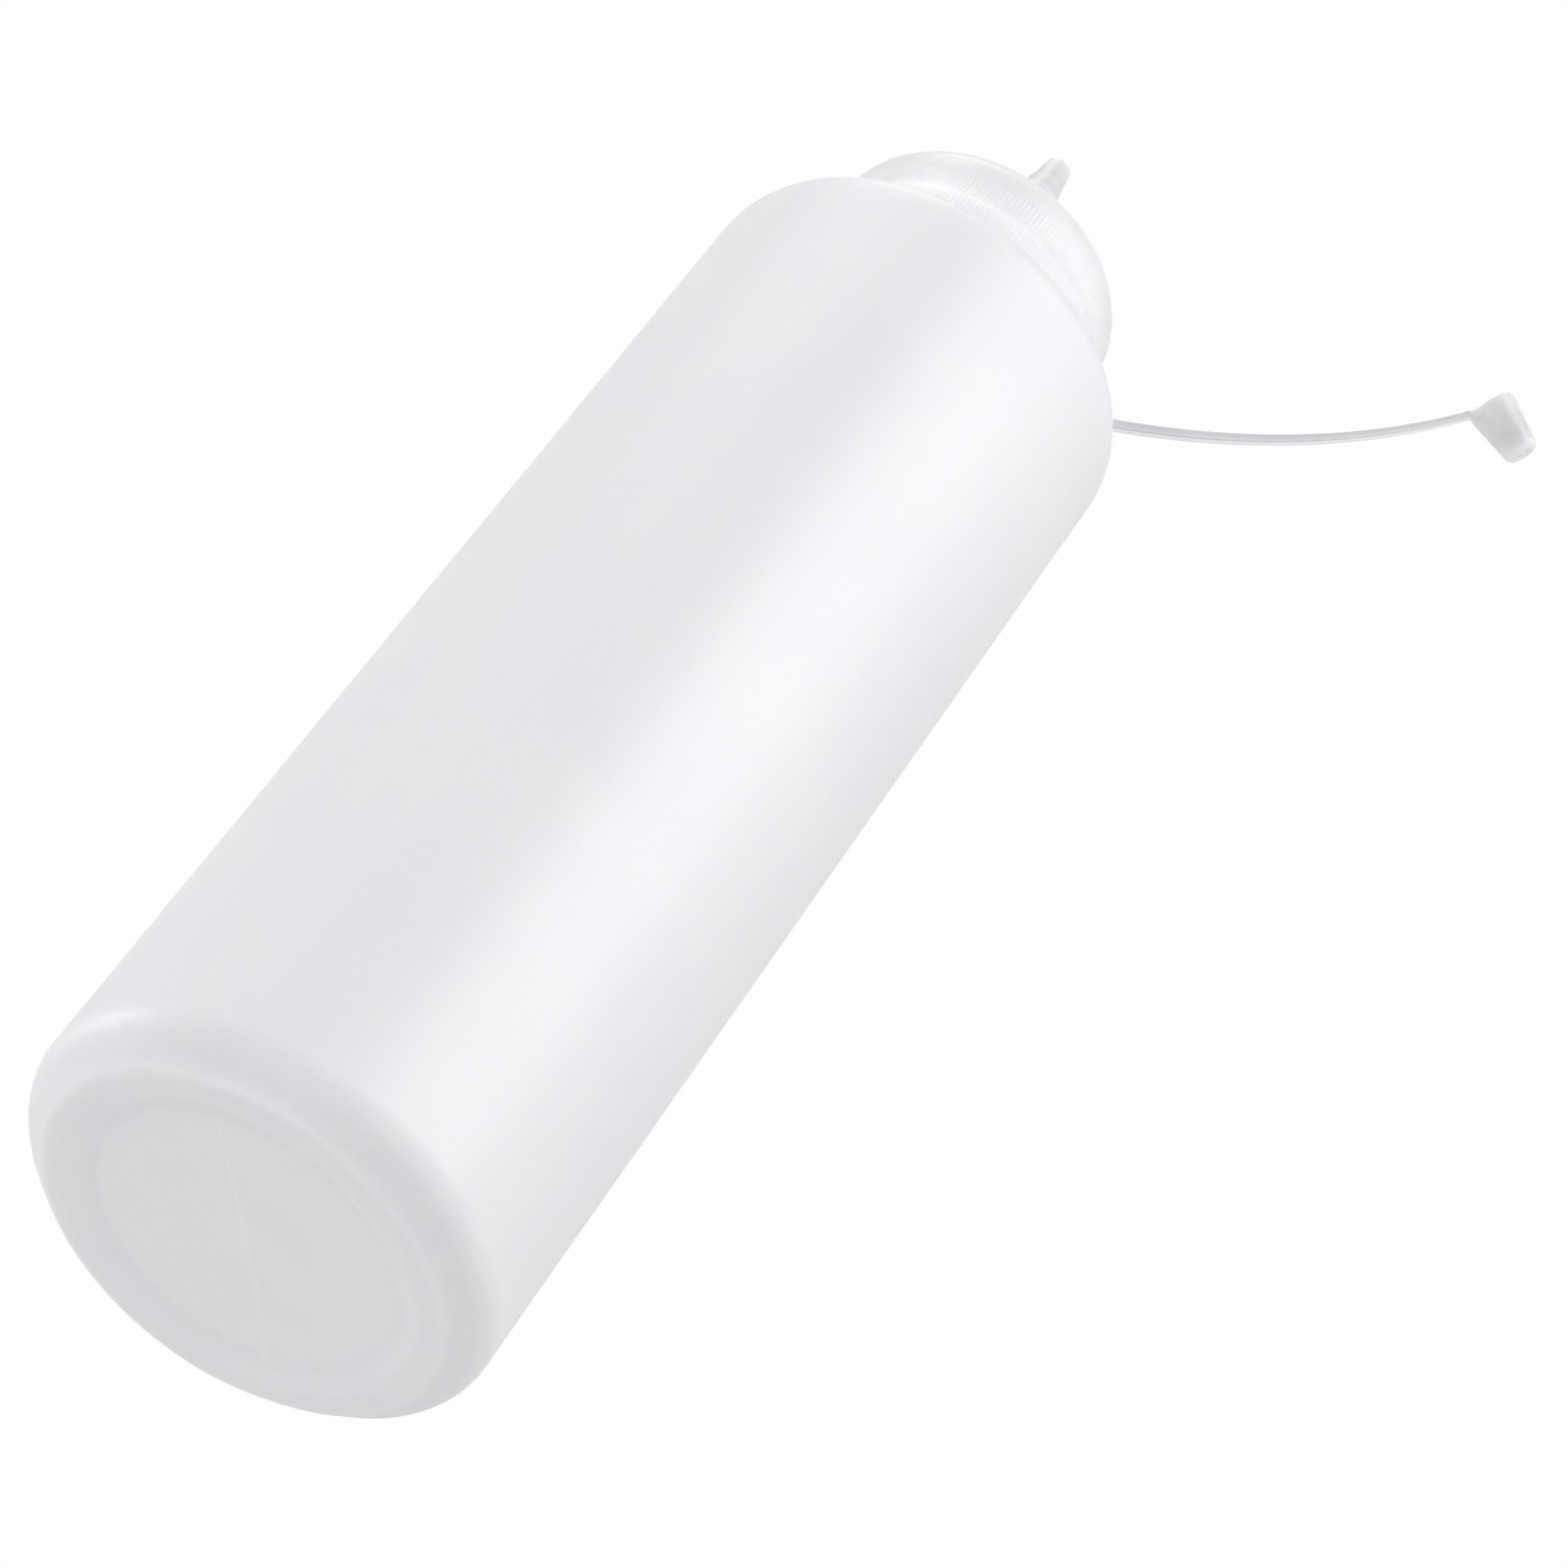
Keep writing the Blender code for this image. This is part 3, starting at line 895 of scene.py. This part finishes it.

# %% Where the body gets painted light and shade, patches and scuffs
base_low = 0.5 * mm
base_high = 9 * mm
panel_fade = 2 * mm
patch_size = 8 * mm
patch_band = 3 * mm
patch_band_end = 10 * mm
corner_low = wall_height - 0.5 * mm
corner_high = wall_height + 1.5 * mm
ring_shade_inside = 2 * mm
ring_shade_outside = 1.5 * mm
scuff_size = 1.6 * mm

near_base = 1 - body_finish.ramp(body_height, base_low, base_high)
on_panel = near_base * (1 - body_finish.ramp(off_axis, panel_radius - panel_fade, foot_ring_outer))
off_seam = abs(body_finish.vector("DOT_PRODUCT", body_finish.place, seam_across, output="Value"))
near_seam = 1 - body_finish.ramp(off_seam, patch_band, patch_band_end)
patches = body_finish.ramp(body_finish.noise(patch_size, 1), 0.42, 0.68) * near_seam
# painted shade: a band along the shoulder's rim, where it meets the cap
painted_shadow_at_corner = body_finish.ramp(body_height, corner_low, corner_high)
painted_shadow_at_corner = painted_shadow_at_corner * body_finish.ramp(off_axis, neck_radius, shoulder_centre)
# painted shade: a ring over the foot ring and a band just inside it
inside_ring = body_finish.ramp(off_axis, foot_ring_inner - ring_shade_inside, foot_ring_inner)
outside_ring = body_finish.ramp(off_axis, foot_ring_outer, foot_ring_outer + ring_shade_outside)
painted_ring_shade = near_base * inside_ring * (1 - outside_ring)
scuffs = body_finish.ramp(body_finish.noise(scuff_size, 4), 0.56, 0.68) * near_base
print("nodes so far:", len(body_finish.tree.nodes))

# %% Colour and surface of the body
cool_white = (0.806, 0.806, 0.852, 1)
warm_white = (0.838, 0.834, 0.852, 1)
# painted fill light: the base panel's colour, a trace lighter than the body, and a little warmer
painted_fill_panel_white = (0.835, 0.830, 0.855, 1)
patch_tint = (0.822, 0.796, 0.798, 1)
# painted shade: grey for the shoulder's rim
painted_shadow_grey = (0.600, 0.600, 0.630, 1)
# painted shade: grey for the foot ring and the band inside it
painted_ring_shade_grey = (0.720, 0.716, 0.745, 1)
patch_share = 0.8
panel_share = 0.9
ring_shade_share = 0.5
painted_shadow_share = 0.5
relief_depth = 0.018 * mm

tone = body_finish.ramp(clouds * 0.7 + streaks * 0.3, 0.3, 0.7)
body_colour = body_finish.blend(tone, cool_white, warm_white)
panel_colour = body_finish.blend(patches * patch_share, painted_fill_panel_white, patch_tint)
# painted fill light on the base panel, with its real brownish patches
body_colour = body_finish.blend(on_panel * panel_share, body_colour, panel_colour)
# painted shade on the foot ring
body_colour = body_finish.blend(painted_ring_shade * ring_shade_share, body_colour, painted_ring_shade_grey)
# painted shade along the shoulder's rim
body_finish.give("Base Color", body_finish.blend(painted_shadow_at_corner * painted_shadow_share, body_colour, painted_shadow_grey))
body_finish.give("Roughness", 0.35 + grain * 0.08 + streaks * 0.05 + scuffs * 0.14)
body_finish.bump(grain * 0.35 + peel * 0.45 + scuffs * 0.2, relief_depth)
dress(bottle, body_finish)
print("blown plastic:", len(body_finish.tree.nodes), "nodes")

# %% [markdown]
# The two caps and the strip are injected in one shot, so they share one kind of finish. It is crisper and
# evener than the blown body, with a fine spark-eroded grain, and slow flow clouds that start at the gate.
# The valleys between the ribs get painted shade, a trace greyer, which is taken from the distance to
# the axis. Thin plastic looks darker than thick plastic, because light goes through it and doesn't come
# back: the dome and the nozzle are greyer than the skirt, which has the neck behind it, and the strip and
# the tip cap are greyer still. The tip cap's closed end is painted near-white, as a painted highlight.

# %% Finish of the moulded caps
cap_white = (0.832, 0.832, 0.854, 1)
cap_shade = (0.788, 0.786, 0.816, 1)
# painted shade: grey for the valleys between the ribs
painted_valley_shade = (0.740, 0.745, 0.755, 1)
thin_white = (0.650, 0.640, 0.665, 1)
thin_shade = (0.590, 0.580, 0.610, 1)
strip_white = (0.535, 0.525, 0.550, 1)
strip_shade = (0.500, 0.490, 0.515, 1)
# painted highlight: near-white for the strip's narrow edges and the tip cap's closed end
painted_highlight_white = (0.960, 0.960, 0.975, 1)
flow_size = 7 * mm
spark_size = 0.22 * mm
spark_depth = 0.010 * mm


def moulded(name, white, shade):
    """Injected plastic, and its colour with the flow clouds in it."""
    finish = milky(name)
    flow = finish.noise(flow_size, 3)
    fine_grain = finish.noise(spark_size, 1)
    finish.give("Roughness", 0.33 + fine_grain * 0.08 + flow * 0.06)
    finish.bump(fine_grain * 0.6 + flow * 0.4, spark_depth)
    return finish, finish.blend(finish.ramp(flow, 0.35, 0.65), white, shade)


print(f"flow clouds {flow_size / mm:.0f} mm across, grain {spark_size / mm:.2f} mm")

# %% Dress the screw cap
valley_shade_share = 0.25
dome_share = 0.6
thin_from = rib_top - 2 * mm
thin_above = dome_foot + 1 * mm
cap_finish, cap_colour = moulded("moulded_plastic", cap_white, cap_shade)
cap_level = cap_finish.along("Z")
on_skirt = 1 - cap_finish.ramp(cap_level, rib_top - rib_fade, rib_top)
in_valley = 1 - cap_finish.ramp(cap_finish.from_axis(), upper_tier_radius - rib_depth, upper_tier_radius)
on_dome = cap_finish.ramp(cap_level, thin_from, thin_above)
# painted shade in the valleys between the ribs
cap_colour = cap_finish.blend(in_valley * on_skirt * valley_shade_share, cap_colour, painted_valley_shade)
cap_colour = cap_finish.blend(on_dome * dome_share, cap_colour, thin_white)
cap_finish.give("Base Color", cap_colour)
dress(screw_cap, cap_finish)
print("screw cap's plastic:", len(cap_finish.tree.nodes), "nodes")

# %% Dress the tip cap
# painted highlight: the tip cap's closed end is whitened
end_highlight_share = 0.8
end_reach = 1.8 * mm
end_fade = 3.6 * mm
thin_finish, thin_colour = moulded("thin_moulded_plastic", thin_white, thin_shade)
closed_end = strip_end @ Vector((mouth_distance, 0, -tip_length))
from_end = thin_finish.vector("DISTANCE", thin_finish.place, closed_end, output="Value")
# painted highlight around the closed end
painted_end_highlight = 1 - thin_finish.ramp(from_end, end_reach, end_fade)
thin_finish.give("Base Color", thin_finish.blend(painted_end_highlight * end_highlight_share, thin_colour, painted_highlight_white))
dress(tip_cap, thin_finish)
print("tip cap's plastic:", len(thin_finish.tree.nodes), "nodes")

# %% [markdown]
# The strip's narrow edges are painted near-white, as a painted highlight. The strip is level across in Y,
# so the distance from the middle plane tells edge from side. It is in eight pieces, and light that scatters
# inside a piece would be lost at its ends and leave dark rings, so here nothing scatters inside.

# %% Finish of the tether
edge_end = tether_width * 0.35
side_start = tether_width * 0.46
strip_finish, side_colour = moulded("strip_plastic", strip_white, strip_shade)
off_middle = abs(strip_finish.along("Y"))
# painted highlight along the strip's narrow edges
painted_edge_highlight = 1 - strip_finish.ramp(off_middle, edge_end, side_start)
strip_finish.give("Base Color", strip_finish.blend(painted_edge_highlight, side_colour, painted_highlight_white))
strip_finish.give("Subsurface Weight", 0)
for piece in tether:
    dress(piece, strip_finish)
print("strip plastic:", len(strip_finish.tree.nodes), "nodes")

# %% [markdown]
# The seal inside the cap is the packed solid itself. It is a soft foam: matt, slightly yellow beside the
# plastic, and pitted by its cells.

# %% Finish of the seal
foam_light = (0.78, 0.77, 0.73, 1)
foam_dark = (0.70, 0.69, 0.66, 1)
cell_size = 0.3 * mm
cell_depth = 0.04 * mm
mottle_size = 3 * mm
foam_finish = Finish("seal_foam", Subsurface_Weight=0.1, Subsurface_Scale=1 * mm)
cells = foam_finish.node(
    "ShaderNodeTexVoronoi", {"feature": "F1"}, {"Vector": foam_finish.place, "Scale": 1 / cell_size}
)
mottle = foam_finish.noise(mottle_size, 2)
foam_finish.give("Base Color", foam_finish.blend(mottle, foam_light, foam_dark))
foam_finish.give("Roughness", 0.62 + cells * 0.25)
foam_finish.bump(cells, cell_depth)
dress(frame["nodes"]["seal_ring"], foam_finish)
print("seal foam:", len(foam_finish.tree.nodes), "nodes")

# %% [markdown]
# The photograph is high in key: a white object on white, told apart by soft shades only. The room is white
# to the camera and a dimmer grey to the object, so that its edges stay a little darker than the background.
# A wide soft light at the front right, above the bottle, draws the broad highlight along the body. Two on
# the left lift the other side and the rim of the heel, one below the bottle fills the base, and a weak one
# at the right keeps the far edge from going grey. The floor shows from above only, because this camera
# looks up at the base, and it takes no light away. It lies a hair below the foot ring, because two faces at
# one height can't be told apart in a render. Much of its white is a glow of its own, so that it is even and
# fades into the white room, and still takes a soft shadow. The level light on the left reaches down through
# the floor and would draw a hard line on it, so light linking keeps that one off the floor.

# %% The white room
scene = bpy.context.scene
scene.view_settings.view_transform = "Standard"
white = (1, 1, 1, 1)
seen_strength = 1.0
light_strength = 0.765
world = bpy.data.worlds.new("studio")
scene.world = world
world.use_nodes = True
room = Recipe(world.node_tree)
room.tree.nodes.remove(room.tree.nodes["Background"])
seen = room.node("ShaderNodeBackground", {}, {"Color": white, "Strength": seen_strength})
lighting = room.node("ShaderNodeBackground", {}, {"Color": white, "Strength": light_strength})
to_camera = room.node("ShaderNodeLightPath", output="Is Camera Ray")
either = room.node("ShaderNodeMixShader", {}, {0: to_camera, 1: lighting, 2: seen})
room.show("World Output", either)
print(f"the room gives {light_strength / seen_strength:.0%} of the light that it shows")

# %% Soft lights
body_middle = Vector((0, 0, wall_height / 2))


def soft_light(name, bearing, rise, width, height, power):
    """A large light, 1 m from the bottle. Bearing, to the right from the front, and rise are in degrees."""
    lamp = bpy.data.lights.new(name, "AREA")
    lamp.shape = "RECTANGLE"
    lamp.size = width
    lamp.size_y = height
    lamp.energy = power
    light = bpy.data.objects.new(name, lamp)
    bpy.context.scene.collection.objects.link(light)
    level = cos(radians(rise))
    away = Vector((level * sin(radians(bearing)), -level * cos(radians(bearing)), sin(radians(rise))))
    across = Vector((0, 0, 1)).cross(away).normalized()
    axes = Matrix((across, away.cross(across), away)).transposed().to_4x4()
    light.matrix_world = Matrix.Translation(body_middle + away) @ axes
    return light


soft_light("key_softbox", bearing=34, rise=39, width=0.85, height=0.35, power=3.8)
soft_light("side_softbox", bearing=80, rise=40, width=0.5, height=0.4, power=0.5)
left_light = soft_light("left_softbox", bearing=-105, rise=0, width=0.5, height=0.5, power=1.87)
soft_light("high_left_softbox", bearing=-70, rise=62, width=0.5, height=0.5, power=1.54)
soft_light("low_softbox", bearing=-45, rise=-62, width=0.6, height=0.6, power=1.35)

# %% The floor
floor_half = 3
floor_drop = 0.05 * mm
corner_shares = ((-1, -1), (1, -1), (1, 1), (-1, 1))
corners = [(floor_half * x, floor_half * y, -floor_drop) for x, y in corner_shares]
floor_mesh = bpy.data.meshes.new("floor")
floor_mesh.from_pydata(corners, [], [(0, 1, 2, 3)])
floor = bpy.data.objects.new("floor", floor_mesh)
scene.collection.objects.link(floor)
floor.visible_diffuse = floor.visible_glossy = floor.visible_transmission = floor.visible_shadow = False

paper_grey = (0.3, 0.3, 0.3, 1)
paper_glow = 0.6
paper = Finish(
    "pale_floor", Base_Color=paper_grey, Roughness=0.9, Emission_Color=white, Emission_Strength=paper_glow
)
sheet = Value(paper, paper.shader.outputs[0])
see_through = paper.node("ShaderNodeBsdfTransparent")
from_below = paper.node("ShaderNodeNewGeometry", output="Backfacing")
one_sided = paper.node("ShaderNodeMixShader", {}, {0: from_below, 1: sheet, 2: see_through})
paper.show("Material Output", one_sided)
dress(floor, paper)
floor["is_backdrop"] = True
print(f"floor {2 * floor_half} m wide, {floor_drop / mm} mm below the foot ring")

# %% Keep the level light off the floor
kept_dark = bpy.data.collections.new("not_lit_from_the_left")
kept_dark.objects.link(floor)
left_light.light_linking.receiver_collection = kept_dark
kept_dark.collection_objects[0].light_linking.link_state = "EXCLUDE"

# %% [markdown]
# Last, the size of the dressed bottle is set beside the size of the packed model. They should agree to a
# tenth of a millimetre, because a finer skin is no excuse for a larger object.

# %% Compare the sizes
shown_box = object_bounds()
growth = max((shown_box[1] - shown_box[0])[axis] - (cad_box[1] - cad_box[0])[axis] for axis in range(3))
print(f"largest growth {growth / mm:.3f} mm")
